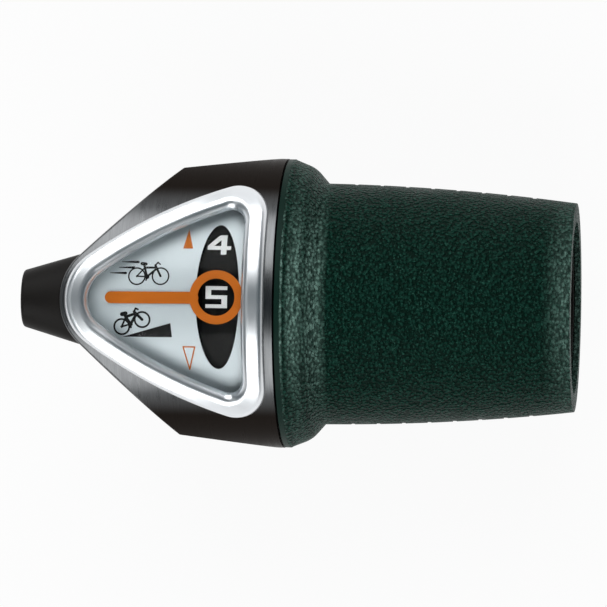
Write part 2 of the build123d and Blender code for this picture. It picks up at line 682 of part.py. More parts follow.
# Spool with the cable groove and the trough for the cable nipple
groove_x = spool_x + SPOOL_FLANGE
with BuildPart() as cable_spool:
    ring(spool_x, groove_x, hub_r, groove_r + DRUM_SKIN)
    ring(groove_x, drum_x, hub_r, spool_r)
    with BuildSketch(Plane.XZ) as groove:
        with Locations((groove_x, groove_r + CABLE_RADIUS + CABLE_CLEARANCE)):
            Circle(CABLE_RADIUS + CABLE_CLEARANCE)
        with Locations((groove_x, groove_r + CABLE_RADIUS + CABLE_CLEARANCE + 2.5)):
            Rectangle(2 * (CABLE_RADIUS + CABLE_CLEARANCE), 5.0)
    revolve(groove.sketch, axis=Axis.X, mode=Mode.SUBTRACT)
    with BuildSketch(radial_plane(150)) as trough:
        with Locations((groove_x, groove_r + 2.3)):
            Circle(2.2)
    extrude(trough.sketch, amount=2.5, both=True, mode=Mode.SUBTRACT)
    keys(spool_x - 1, drum_x + 1, hub_r - 0.4, keyway_r, keyway_width, 3, mode=Mode.SUBTRACT)
cable_spool.part.label = "cable_spool"

# Drum that carries the gear numbers
with BuildPart() as number_drum:
    ring(drum_x, detent_x, hub_r, hub_r + DRUM_WEB)
    ring(drum_x, drum_x + DRUM_WEB, hub_r + DRUM_WEB / 2, number_r - DRUM_SKIN / 2)
    ring(drum_x, detent_x, number_r - DRUM_SKIN, number_r)
    keys(drum_x - 1, detent_x + 1, hub_r - 0.4, keyway_r, keyway_width, 3, mode=Mode.SUBTRACT)
number_drum.part.label = "number_drum"

# Ring with a notch for each gear and a rim that stops at both ends of the travel
rim_gap = travel + STOP_ARC + 2 * STOP_CLEARANCE
rim_middle = stop_angle + STOP_ARC / 2 + STOP_CLEARANCE + (360 - rim_gap) / 2
notch_angles = [radians(spring_angle - GEAR_STEP * gear) for gear in range(GEARS)]
with BuildPart() as detent_ring:
    ring(detent_x, shoulder_x, hub_r, crest_ring_r)
    sector(rim_x, shoulder_x, crest_ring_r - 0.5, number_r + 0.3, rim_middle, 360 - rim_gap)
    with BuildSketch(Plane.YZ.offset(detent_x)) as notches:
        with Locations(*[(notch_r * cos(turn), notch_r * sin(turn)) for turn in notch_angles]):
            Circle(NOTCH_RADIUS)
    extrude(notches.sketch, amount=rim_x - detent_x, mode=Mode.SUBTRACT)
    keys(detent_x - 1, shoulder_x + 1, hub_r - 0.4, keyway_r, keyway_width, 3, mode=Mode.SUBTRACT)
detent_ring.part.label = "detent_ring"

pieces = (
    housing, top_cover, bezel, window_lens, dial_plate, cable_outlet, cable_guide,
    clamp_screw, clamp_washer, clamp_nut, cover_screws, detent_spring,
    inboard_washer, outboard_washer, retaining_ring,
    twist_sleeve, rubber_grip, cable_spool, number_drum, detent_ring,
)
os.makedirs("parts", exist_ok=True)
for piece in pieces:
    export_step(piece.part, f"parts/{piece.part.label}.step")
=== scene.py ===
"""Studio scene of the twist grip shifter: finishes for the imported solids, and the printed gear display."""
import logging
import math
from collections.abc import Mapping
from dataclasses import dataclass, field
from enum import Enum

import bmesh
import bpy
from mathutils import Matrix, Vector
from mathutils.geometry import delaunay_2d_cdt


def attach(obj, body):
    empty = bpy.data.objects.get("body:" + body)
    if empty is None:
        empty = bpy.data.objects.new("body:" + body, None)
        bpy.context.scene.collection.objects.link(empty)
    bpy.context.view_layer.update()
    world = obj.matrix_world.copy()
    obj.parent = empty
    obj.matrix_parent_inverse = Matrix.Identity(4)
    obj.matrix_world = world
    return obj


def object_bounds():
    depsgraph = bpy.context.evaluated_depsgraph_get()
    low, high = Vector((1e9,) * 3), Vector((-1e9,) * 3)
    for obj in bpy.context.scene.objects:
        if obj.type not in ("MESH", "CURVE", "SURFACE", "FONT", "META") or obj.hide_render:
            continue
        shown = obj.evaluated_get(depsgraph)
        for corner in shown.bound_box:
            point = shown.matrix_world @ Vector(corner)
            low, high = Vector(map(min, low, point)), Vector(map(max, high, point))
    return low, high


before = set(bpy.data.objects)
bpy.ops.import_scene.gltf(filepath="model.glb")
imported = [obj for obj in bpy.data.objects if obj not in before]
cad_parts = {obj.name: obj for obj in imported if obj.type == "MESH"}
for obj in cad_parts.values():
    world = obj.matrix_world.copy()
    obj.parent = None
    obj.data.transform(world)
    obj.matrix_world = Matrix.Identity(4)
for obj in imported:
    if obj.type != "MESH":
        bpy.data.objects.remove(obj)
CAD_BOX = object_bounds()
MM = 0.001
NOISE_SPAN = (0.3, 0.7)
SMOOTH = "SMOOTHSTEP"
LOG = logging.getLogger("twist_grip_shifter")

Point = tuple[float, float]
Span = tuple[float, float]
Place = tuple[float, float, float]
Triple = tuple[float, float, float]
Colour = tuple[float, float, float]
Socket = bpy.types.NodeSocket
Value = Socket | float | Triple | bpy.types.Material


class Body(Enum):
    """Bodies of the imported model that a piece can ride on."""

    HOUSING = "housing"
    GRIP = "grip"


class Slot(Enum):
    """Material slots named after finishes; nothing in this script uses them."""

    WHITE = "white_plastic"
    BLACK = "drum_black"
    PLATE = "pale_plate"
    STEEL = "steel"


class Texture(Enum):
    """Surface texture that a finish carries."""

    MOTTLED = "mottled"
    BRUSHED = "brushed"


@dataclass(frozen=True)
class Wiring:
    """Short ways to add linked nodes to one node tree."""

    tree: bpy.types.NodeTree

    def feed(self, target: Socket, value: Value) -> None:
        """Link an input to a socket, or set it to a plain value.

        Args:
            target: The input.
            value: Socket that it is linked to, or its value; a colour gets full opacity.
        """
        if isinstance(value, Socket):
            self.tree.links.new(value, target)
        elif target.type == "RGBA":
            target.default_value = (*value, 1.0)
        else:
            target.default_value = value

    def add(
        self,
        kind: str,
        inputs: Mapping[str | int, Value] | None = None,
        **options: object,
    ) -> bpy.types.Node:
        """Add a node, set its options and then feed its inputs.

        Args:
            kind: Type of the node.
            inputs: Sockets or plain values for its inputs, by name or number.
            options: Properties of the node.

        Returns:
            The node.
        """
        node = self.tree.nodes.new(kind)
        for option, value in options.items():
            setattr(node, option, value)
        for key, value in (inputs or {}).items():
            self.feed(node.inputs[key], value)
        return node

    def maths(self, operation: str, *values: Value) -> Socket:
        """Result of a sum with plain numbers."""
        return self.add("ShaderNodeMath", dict(enumerate(values)), operation=operation).outputs["Value"]

    def vector(self, operation: str, *values: Value) -> Socket:
        """Result of a sum with vectors."""
        node = self.add("ShaderNodeVectorMath", dict(enumerate(values)), operation=operation)
        return node.outputs["Vector"]

    def ranged(self, value: Socket, span: Span, result: Span = (0.0, 1.0), shape: str = "LINEAR") -> Socket:
        """Carry one span of values over to another.

        Args:
            value: Socket with the value.
            span: Ends of the span that it comes from.
            result: Values at those two ends.
            shape: Way from one end to the other.

        Returns:
            Socket with the new value.
        """
        ends = {"From Min": span[0], "From Max": span[1], "To Min": result[0], "To Max": result[1]}
        node = self.add("ShaderNodeMapRange", {"Value": value, **ends}, interpolation_type=shape)
        return node.outputs["Result"]

    def mixed(self, share: Socket, first: Value, second: Value) -> Socket:
        """Mix of two colours, with the share of the second one."""
        inputs = {"Factor": share, "A": first, "B": second}
        return self.add("ShaderNodeMix", inputs, data_type="RGBA").outputs["Result"]

    def noise(self, place: Socket, scale: Value, detail: float) -> bpy.types.Node:
        """Noise texture at a place."""
        return self.add("ShaderNodeTexNoise", {"Vector": place, "Scale": scale, "Detail": detail})

    def shared(self, group: bpy.types.NodeTree, inputs: Mapping[str, Value]) -> bpy.types.NodeOutputs:
        """Outputs of a shared node group that is put in the tree."""
        return self.add("ShaderNodeGroup", inputs, node_tree=group).outputs

    def place(self) -> Socket:
        """Socket with the object coordinates."""
        return self.add("ShaderNodeTexCoord").outputs["Object"]


def new_material(name: str) -> tuple[bpy.types.Material, Wiring, bpy.types.ShaderNode]:
    """Start a material.

    Args:
        name: Name of the material.

    Returns:
        The material, its wiring and its shader.
    """
    material = bpy.data.materials.new(name)
    material.use_nodes = True
    tree = material.node_tree
    return material, Wiring(tree), tree.nodes["Principled BSDF"]


@dataclass(frozen=True)
class Fade:
    """Painted shade: a change to a dark colour with the distance from a centre, in metres.

    Each direction counts by its share, so that the distance is from a plane, from a line or from an oval.
    The surface is clear at one distance and fully dark at the other.
    """

    share: Triple
    clear: float
    full: float
    dark: Colour
    centre: Place = (0.0, 0.0, 0.0)

    def mask(self, wiring: Wiring, place: Socket) -> Socket:
        """Place the nodes that measure the distance.

        Args:
            wiring: Wiring of the material.
            place: Socket with the object coordinates.

        Returns:
            Socket that is 0 where the surface is clear and 1 where it is dark.
        """
        weighed = wiring.vector("MULTIPLY", wiring.vector("SUBTRACT", place, self.centre), self.share)
        distance = wiring.add("ShaderNodeVectorMath", {0: weighed}, operation="LENGTH").outputs["Value"]
        return wiring.ranged(distance, (self.clear, self.full), shape=SMOOTH)


class ShaderGroups:
    """Shader node groups that several finishes share, each built once, with scales in counts per metre."""

    WAVER_SCALE = 900.0
    WAVER_DETAIL = 2.0
    CELL_SMOOTHNESS = 0.35
    DOME = (0.8, 0.22)
    PORE_SCALE = 5200.0
    PORE_DETAIL = 3.0
    PORE_SHARE = 0.35
    PATCH_DETAIL = 3.0
    SPECKLE_DETAIL = 2.0
    STROKE_DETAIL = 4.0
    BAND_DETAIL = 2.0
    BAND_SHARE = 0.16

    def __init__(self) -> None:
        """Build all groups."""
        self.pebble = self._pebble()
        self.mottle = self._mottle()
        self.brushed = self._brushed()

    @staticmethod
    def _start(
        name: str,
        inputs: Mapping[str, str],
        outputs: tuple[str, ...],
    ) -> tuple[Wiring, bpy.types.NodeOutputs, bpy.types.NodeInputs]:
        """Start a node group.

        Args:
            name: Name of the group.
            inputs: Names of the inputs with their kinds.
            outputs: Names of the value outputs.

        Returns:
            The wiring of the group, its sources and its sinks.
        """
        group = bpy.data.node_groups.new(name, "ShaderNodeTree")
        for label, kind in inputs.items():
            group.interface.new_socket(name=label, in_out="INPUT", socket_type=f"NodeSocket{kind}")
        for label in outputs:
            group.interface.new_socket(name=label, in_out="OUTPUT", socket_type="NodeSocketFloat")
        wiring = Wiring(group)
        return wiring, wiring.add("NodeGroupInput").outputs, wiring.add("NodeGroupOutput").inputs

    def _pebble(self) -> bpy.types.NodeTree:
        """Leather-like grain: rounded cells with narrow valleys.

        Returns:
            The group, which gives the relief and the crests of the cells.
        """
        wiring, source, sink = self._start(
            "pebble_grain",
            {"Vector": "Vector", "Cell Size": "Float", "Waver": "Float"},
            ("Height", "Crest"),
        )
        place = source["Vector"]
        drift = wiring.noise(place, self.WAVER_SCALE, self.WAVER_DETAIL).outputs["Color"]
        wavering = wiring.vector("MULTIPLY_ADD", drift, source["Waver"], place)
        scale = wiring.maths("DIVIDE", 1.0, source["Cell Size"])
        cells = wiring.add(
            "ShaderNodeTexVoronoi",
            {"Vector": wavering, "Scale": scale, "Smoothness": self.CELL_SMOOTHNESS},
            feature="SMOOTH_F1",
        )
        dome = wiring.ranged(cells.outputs["Distance"], self.DOME, shape="SMOOTHERSTEP")
        pores = wiring.noise(place, self.PORE_SCALE, self.PORE_DETAIL).outputs["Fac"]
        wiring.feed(sink["Height"], wiring.maths("MULTIPLY_ADD", pores, self.PORE_SHARE, dome))
        wiring.feed(sink["Crest"], dome)
        return wiring.tree

    def _mottle(self) -> bpy.types.NodeTree:
        """Soft uneven patches and a finer speckle, as on moulded and printed surfaces.

        Returns:
            The group, which gives the patches and the speckle.
        """
        wiring, source, sink = self._start(
            "moulded_mottle",
            {"Vector": "Vector", "Patch Size": "Float", "Speckle Size": "Float"},
            ("Patches", "Speckle"),
        )
        for label, size, detail in (
            ("Patches", "Patch Size", self.PATCH_DETAIL),
            ("Speckle", "Speckle Size", self.SPECKLE_DETAIL),
        ):
            scale = wiring.maths("DIVIDE", 1.0, source[size])
            wiring.feed(sink[label], wiring.noise(source["Vector"], scale, detail).outputs["Fac"])
        return wiring.tree

    def _brushed(self) -> bpy.types.NodeTree:
        """Fine strokes, drawn out in the directions with the smaller spread, and wider bands of them.

        Returns:
            The group, which gives the strokes and the bands.
        """
        wiring, source, sink = self._start(
            "brushed_strokes",
            {"Vector": "Vector", "Spread": "Vector"},
            ("Strokes", "Bands"),
        )
        for label, share, detail in (
            ("Strokes", 1.0, self.STROKE_DETAIL),
            ("Bands", self.BAND_SHARE, self.BAND_DETAIL),
        ):
            stretched = wiring.vector("MULTIPLY", source["Vector"], source["Spread"])
            scaled = wiring.add("ShaderNodeVectorMath", {0: stretched, "Scale": share}, operation="SCALE")
            wiring.feed(sink[label], wiring.noise(scaled.outputs["Vector"], 1.0, detail).outputs["Fac"])
        return wiring.tree


@dataclass(frozen=True)
class Finish:
    """One surface finish, made into a procedural material.

    The two colours are mixed by the texture, and the roughness runs between its two values.
    The spread is the number of brushed strokes per metre in each direction.
    """

    name: str
    colour: Colour
    second: Colour
    rough: Span
    texture: Texture = Texture.MOTTLED
    metallic: float = 0.0
    specular: float = 0.5
    patch: float = 6.0 * MM
    size: float = 0.6 * MM
    relief: float = 0.02 * MM
    strength: float = 0.5
    spread: Triple = (9000.0, 260.0, 260.0)
    # Fades that paint shade as darker colour on parts of the surface.
    fades: tuple[Fade, ...] = ()

    def make(self, groups: ShaderGroups) -> bpy.types.Material:
        """Build the material.

        Args:
            groups: Shared shader node groups.

        Returns:
            The material, ready to be put on a piece.
        """
        material, wiring, shader = new_material(self.name)
        shader.inputs["Metallic"].default_value = self.metallic
        shader.inputs["Specular IOR Level"].default_value = self.specular
        place = wiring.place()
        height, shade, wear = self._texture(wiring, groups, place)
        bump = wiring.add(
            "ShaderNodeBump",
            {"Strength": self.strength, "Distance": self.relief, "Height": height},
        )
        colour = wiring.mixed(shade, self.colour, self.second)
        if self.fades:
            colour = self._faded(wiring, place, colour, shader)
        wiring.feed(shader.inputs["Normal"], bump.outputs["Normal"])
        wiring.feed(shader.inputs["Base Color"], colour)
        wiring.feed(shader.inputs["Roughness"], wiring.ranged(wear, NOISE_SPAN, self.rough))
        return material

    def _texture(self, wiring: Wiring, groups: ShaderGroups, place: Socket) -> tuple[Socket, Socket, Socket]:
        """Place the texture's group.

        Args:
            wiring: Wiring of the material.
            groups: Shared shader node groups.
            place: Socket with the object coordinates.

        Returns:
            Sockets for the relief, the mix of the two colours and the roughness.
        """
        if self.texture is Texture.BRUSHED:
            drawn = wiring.shared(groups.brushed, {"Vector": place, "Spread": self.spread})
            return drawn["Strokes"], drawn["Strokes"], drawn["Bands"]
        sizes = {"Patch Size": self.patch, "Speckle Size": self.size}
        mottle = wiring.shared(groups.mottle, {"Vector": place, **sizes})
        return mottle["Speckle"], mottle["Patches"], mottle["Patches"]

    def _faded(self, wiring: Wiring, place: Socket, colour: Socket, shader: bpy.types.ShaderNode) -> Socket:
        """Paint shade: fade the colour to the dark ones, and the metallic share with it.

        Args:
            wiring: Wiring of the material.
            place: Socket with the object coordinates.
            colour: Socket with the colour so far.
            shader: Shader whose metallic share fades with the colour.

        Returns:
            Socket with the faded colour.
        """
        masks = [fade.mask(wiring, place) for fade in self.fades]
        for fade, mask in zip(self.fades, masks):
            colour = wiring.mixed(mask, colour, fade.dark)
        strongest = masks[0]
        for mask in masks[1:]:
            strongest = wiring.maths("MAXIMUM", strongest, mask)
        flakes = wiring.ranged(strongest, (0.0, 1.0), (self.metallic, 0.0))
        wiring.feed(shader.inputs["Metallic"], flakes)
        return colour


@dataclass(frozen=True)
class RubberFinish:
    """Grained rubber, with painted highlight bands and darker painted creases on the collar, and worn paler
    on the lip at the open end.

    The collar's bands are places along the grip in millimetres, each with its share of the pale colour.
    This pale mix is weakest between the streaks and in the valleys of the grain, and it fades to painted
    shade at the two flanks of the grip.
    """

    name: str = "grained_rubber"
    valley: Colour = (0.0012, 0.0108, 0.0068)
    crest: Colour = (0.0045, 0.032, 0.0215)
    # Painted glints: small paler specks that stand in for highlights on the grain.
    painted_glint: Colour = (0.023, 0.09, 0.065)
    painted_glint_span: Span = (0.56, 0.72)
    painted_glint_share: float = 0.75
    # Pale colour of the painted highlights on the collar and of the wear on the lip.
    worn_and_highlight: Colour = (0.215, 0.36, 0.305)
    # Bands of painted highlight on the collar's curves, with darker painted creases between them.
    collar: tuple[tuple[float, float], ...] = (
        (0.95, 0.9), (1.12, 0.9), (1.3, 0.05), (1.5, 0.05), (2.0, 0.55), (2.7, 0.8), (3.5, 0.8),
        (3.9, 0.35), (4.3, 0.35), (4.8, 0.75), (6.0, 0.8), (6.6, 0.4), (7.4, 0.0),
    )
    collar_reach: float = 10.0 * MM
    lip: Span = (38.5 * MM, 42.5 * MM)
    lip_share: float = 0.5
    streaks: Triple = (3000.0, 1000.0, 1000.0)
    streak_span: Span = (0.36, 0.62)
    crest_span: Span = (0.0, 0.8)
    least_share: float = 0.3
    # Span over which the painted highlight falls to painted shade at the two flanks of the grip.
    side_shade: Span = (6.0 * MM, 15.0 * MM)
    side_shade_share: float = 0.22
    cell: float = 0.55 * MM
    waver: float = 0.25
    patch: float = 7.0 * MM
    speckle: float = 0.34 * MM
    relief: float = 0.4 * MM
    rough: Span = (0.34, 0.46)
    specular: float = 0.035

    def make(self, groups: ShaderGroups) -> bpy.types.Material:
        """Build the rubber.

        Args:
            groups: Shared shader node groups.

        Returns:
            The material, ready to be put on a piece.
        """
        material, wiring, shader = new_material(self.name)
        shader.inputs["Specular IOR Level"].default_value = self.specular
        place = wiring.place()
        grain = wiring.shared(
            groups.pebble,
            {"Vector": place, "Cell Size": self.cell, "Waver": self.waver * self.cell},
        )
        mottle = wiring.shared(
            groups.mottle,
            {"Vector": place, "Patch Size": self.patch, "Speckle Size": self.speckle},
        )
        drawn = wiring.shared(groups.brushed, {"Vector": place, "Spread": self.streaks})
        bump = wiring.add("ShaderNodeBump", {"Distance": self.relief, "Height": grain["Height"]})
        # Painted glints: small paler specks stand in for highlights on the grain.
        painted_glints = wiring.ranged(mottle["Speckle"], self.painted_glint_span, (0.0, self.painted_glint_share))
        worn_and_highlit = self._wear_and_highlight(wiring, place, drawn["Strokes"], grain["Crest"])
        colour = wiring.mixed(grain["Crest"], self.valley, self.crest)
        colour = wiring.mixed(painted_glints, colour, self.painted_glint)
        # Painted highlights and creases on the collar, and wear on the lip.
        colour = wiring.mixed(worn_and_highlit, colour, self.worn_and_highlight)
        wiring.feed(shader.inputs["Normal"], bump.outputs["Normal"])
        wiring.feed(shader.inputs["Base Color"], colour)
        wiring.feed(shader.inputs["Roughness"], wiring.ranged(mottle["Patches"], NOISE_SPAN, self.rough))
        return material

    def _wear_and_highlight(self, wiring: Wiring, place: Socket, strokes: Socket, crest: Socket) -> Socket:
        """Mask of the painted highlight bands on the collar, with their darker painted creases, and of the
        worn lip, broken up by streaks and grain.

        Args:
            wiring: Wiring of the material.
            place: Socket with the object coordinates.
            strokes: Socket with the streaks that run round the grip.
            crest: Socket with the crests of the grain.

        Returns:
            Socket with the mask.
        """
        parts = wiring.add("ShaderNodeSeparateXYZ", {"Vector": place}).outputs
        along = wiring.ranged(parts["X"], (0.0, self.collar_reach))
        bands = wiring.add("ShaderNodeValToRGB", {"Fac": along})
        stops = bands.color_ramp.elements
        while len(stops) < len(self.collar):
            stops.new(1.0)
        for stop, (x, grey) in zip(stops, self.collar):
            stop.position = x * MM / self.collar_reach
            stop.color = (grey, grey, grey, 1.0)
        lip = wiring.ranged(parts["X"], self.lip, (0.0, self.lip_share), SMOOTH)
        share = wiring.maths("MAXIMUM", bands.outputs["Color"], lip)
        # Painted shade: the pale mix falls away towards the two flanks of the grip, away from the light
        # above.
        side = wiring.maths("ABSOLUTE", parts["Y"])
        for source, span, ends in (
            (strokes, self.streak_span, (self.least_share, 1.0)),
            (crest, self.crest_span, (self.least_share, 1.0)),
            (side, self.side_shade, (1.0, self.side_shade_share)),
        ):
            share = wiring.maths("MULTIPLY", share, wiring.ranged(source, span, ends))
        return share


@dataclass(frozen=True)
class ClearFinish:
    """Clear moulded plastic of the display window."""

    name: str = "clear_window"
    tint: Colour = (0.97, 0.985, 0.985)
    refraction: float = 1.09
    patch: float = 5.0 * MM
    speckle: float = 0.5 * MM
    patch_span: Span = (0.35, 0.75)
    rough: Span = (0.0, 0.02)

    def make(self, groups: ShaderGroups) -> bpy.types.Material:
        """Build the clear material with faint unevenness in its gloss.

        Args:
            groups: Shared shader node groups.

        Returns:
            The material, ready to be put on a piece.
        """
        material, wiring, shader = new_material(self.name)
        shader.inputs["Base Color"].default_value = (*self.tint, 1.0)
        shader.inputs["Transmission Weight"].default_value = 1.0
        shader.inputs["IOR"].default_value = self.refraction
        sizes = {"Patch Size": self.patch, "Speckle Size": self.speckle}
        mottle = wiring.shared(groups.mottle, {"Vector": wiring.place(), **sizes})
        wiring.feed(shader.inputs["Roughness"], wiring.ranged(mottle["Patches"], self.patch_span, self.rough))
        return material


class FinishSet:
    """All finishes of the shifter, made once and handed out by name."""

    # Slot black: the drum's own colour, and also painted shade in the recess under the slot and on the slot's
    # walls.
    SLOT_BLACK_AND_SHADE: Colour = (0.005, 0.005, 0.005)
    # Side brown: painted shade down the curved flanks of the cover.
    SIDE_SHADE_BROWN: Colour = (0.0135, 0.0102, 0.0084)
    INKS: dict[str, tuple[Colour, Colour]] = {
        "white_ink": ((0.9, 0.9, 0.89), (0.95, 0.95, 0.94)),
        "orange_ink": ((0.56, 0.135, 0.012), (0.66, 0.17, 0.018)),
        "black_ink": ((0.01, 0.01, 0.01), (0.018, 0.017, 0.017)),
    }

    def __init__(self) -> None:
        """Make all finishes."""
        groups = ShaderGroups()
        finishes = [
            *self._plastics(), *self._metals(), *self._inks(), self._plate(), RubberFinish(), ClearFinish(),
        ]
        self._made = {finish.name: finish.make(groups) for finish in finishes}

    def __getitem__(self, name: str) -> bpy.types.Material:
        """Material of that name."""
        return self._made[name]

    @classmethod
    def _plastics(cls) -> list[Finish]:
        """Moulded plastics."""
        return [
            Finish(
                "satin_black", (0.0085, 0.0076, 0.007), (0.013, 0.0115, 0.0105), (0.42, 0.55),
                specular=0.1, size=0.3 * MM, relief=0.03 * MM,
            ),
            Finish(
                "sleeve_green", (0.003, 0.0165, 0.0115), (0.006, 0.024, 0.0175), (0.36, 0.46),
                specular=0.06, size=0.25 * MM, relief=0.006 * MM, strength=0.3,
            ),
            Finish(
                "drum_satin", cls.SLOT_BLACK_AND_SHADE, (0.01, 0.01, 0.0095), (0.5, 0.6),
                specular=0.08, size=0.2 * MM, relief=0.004 * MM, strength=0.3,
            ),
            Finish(
                "pale_nylon", (0.62, 0.6, 0.55), (0.7, 0.68, 0.63), (0.42, 0.55),
                size=0.2 * MM, relief=0.006 * MM, strength=0.3,
            ),
        ]

    @classmethod
    def _metals(cls) -> list[Finish]:
        """Metals and metallic paint, with painted shade that darkens the paint down the curved flanks of the
        cover and in the recess under the slot.

        Returns:
            The finishes.
        """
        # Painted shade: the cover turns brown-black down its flanks, where its curve turns away from the
        # light.
        side_shade = Fade((0.0, 1.0, 0.0), 13.0 * MM, 17.0 * MM, cls.SIDE_SHADE_BROWN)
        # Painted shade: the cover is painted black in the recess that shows through the slot.
        slot_shade = Fade((1.0, 0.3, 0.0), 4.4 * MM, 3.8 * MM, cls.SLOT_BLACK_AND_SHADE, (-8.6 * MM, 0.0, 0.0))
        return [
            Finish(
                "gunmetal_paint", (0.085, 0.088, 0.091), (0.17, 0.174, 0.178), (0.25, 0.33), Texture.BRUSHED,
                metallic=1.0, specular=0.01, relief=0.006 * MM, strength=0.4, fades=(side_shade, slot_shade),
            ),
            Finish(
                "bright_plating", (0.8, 0.825, 0.85), (0.86, 0.88, 0.9), (0.3, 0.38),
                metallic=1.0, size=0.4 * MM, relief=0.002 * MM, strength=0.15,
            ),
            Finish(
                "plated_steel", (0.32, 0.32, 0.33), (0.5, 0.5, 0.5), (0.22, 0.38), Texture.BRUSHED,
                metallic=1.0, relief=0.003 * MM, strength=0.3, spread=(700.0, 2600.0, 700.0),
            ),
        ]

    @classmethod
    def _inks(cls) -> list[Finish]:
        """Inks of the printed display."""
        return [
            Finish(
                name, *colours, (0.4, 0.5),
                specular=0.1, size=0.1 * MM, relief=0.002 * MM, strength=0.2,
            )
            for name, colours in cls.INKS.items()
        ]

    @classmethod
    def _plate(cls) -> Finish:
        """Pale lacquer of the plate, with painted shade in black on the edges below its printed face, which
        are the walls of the slot.
        """
        # Painted shade: black on the plate's edges in the slot, where shade falls.
        edges = Fade((0.0, 1.0, 1.0), 19.37 * MM, 19.34 * MM, cls.SLOT_BLACK_AND_SHADE)
        return Finish(
            "plate_lacquer", (0.63, 0.685, 0.71), (0.69, 0.745, 0.77), (0.36, 0.48),
            metallic=0.1, size=0.12 * MM, relief=0.004 * MM, strength=0.3, fades=(edges,),
        )


@dataclass
class SolidParts:
    """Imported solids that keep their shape, each with the finish that it gets."""

    dressed: dict[str, str] = field(default_factory=lambda: {
        "rubber_grip": "grained_rubber",
        "twist_sleeve": "sleeve_green",
        "housing": "satin_black",
        "cable_outlet": "satin_black",
        "top_cover": "gunmetal_paint",
        "bezel": "bright_plating",
        "window_lens": "clear_window",
        "dial_plate": "plate_lacquer",
        "number_drum": "drum_satin",
        "cable_guide": "pale_nylon",
        "cable_spool": "pale_nylon",
        "detent_ring": "pale_nylon",
        "inboard_washer": "pale_nylon",
        "outboard_washer": "pale_nylon",
        "clamp_screw": "plated_steel",
        "clamp_washer": "plated_steel",
        "clamp_nut": "plated_steel",
        "cover_screws": "plated_steel",
        "detent_spring": "plated_steel",
        "retaining_ring": "plated_steel",
    })

    def dress(self, finishes: FinishSet) -> None:
        """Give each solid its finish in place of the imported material.

        Args:
            finishes: Finishes of the shifter.
        """
        for node, finish in self.dressed.items():
            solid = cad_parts[node]
            solid.data.materials.clear()
            solid.data.materials.append(finishes[finish])
            LOG.info("%s wears %s", node, finish)


